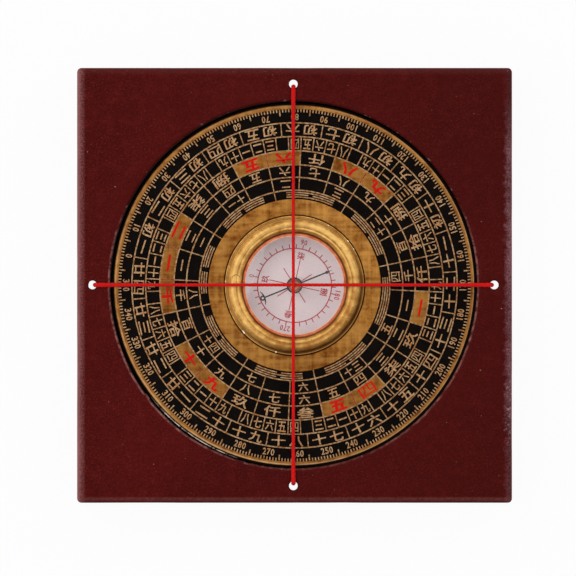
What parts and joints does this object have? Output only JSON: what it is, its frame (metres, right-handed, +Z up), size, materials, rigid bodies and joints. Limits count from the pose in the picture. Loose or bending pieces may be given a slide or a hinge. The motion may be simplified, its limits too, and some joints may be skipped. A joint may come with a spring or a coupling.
{
  "type": "feng shui compass",
  "caption": "Square leather-wrapped direction board with a turning etched brass dial, a magnetic needle under glass at its middle and crossed red hairline cords.",
  "frame": {"origin": "centre of the square felt underside, on the surface that the board rests on", "axes": "+Z up out of the dial, +X and +Y along the board's sides and the two crossed cords"},
  "size_m": [0.1, 0.1, 0.0176],
  "materials": {
    "wrap_leather": "fine-grained leatherette, semi-matte",
    "board_core": "raw pressed board",
    "infill_card": "plain grey card",
    "backing_felt": "black felt",
    "glide_felt": "dark felt",
    "cord_red": "twisted thread",
    "disc_black": "moulded",
    "etched_brass": "brushed, enamel-filled",
    "cup_brass": "turned",
    "bezel_brass": "polished",
    "ring_copper": "satin copper",
    "card_white": "printed card",
    "crystal_glass": "clear",
    "pin_steel": "ground",
    "needle_black": "blackened steel",
    "jewel_red": "polished jewel"
  },
  "bodies": {
    "base": {"base_board": "board_core", "frame_board": "board_core", "board_wrap": "wrap_leather", "infill_sheet": "infill_card", "felt_backing": "backing_felt", "glide_ring": "glide_felt", "cross_cord": "cord_red", "cord_knot": "cord_red"},
    "dial": {"dial_disc": "disc_black", "dial_plate": "etched_brass", "compass_cup": "cup_brass", "compass_card": "card_white", "pivot_boss": "cup_brass", "pivot_pin": "pin_steel", "spacer_ring": "card_white", "crystal": "crystal_glass", "retaining_ring": "ring_copper", "bezel": "bezel_brass"},
    "needle": {"needle": "needle_black", "needle_cap": "bezel_brass", "needle_jewel": "jewel_red"}
  },
  "joints": [
    {"name": "dial_turn", "type": "hinge", "parent": "base", "child": "dial", "pos_m": [0, 0, 0.0074], "axis": [0, 0, 1], "continuous": true},
    {"name": "needle_swing", "type": "hinge", "parent": "dial", "child": "needle", "pos_m": [0, 0, 0.0118], "axis": [0, 0, 1], "continuous": true}
  ]
}
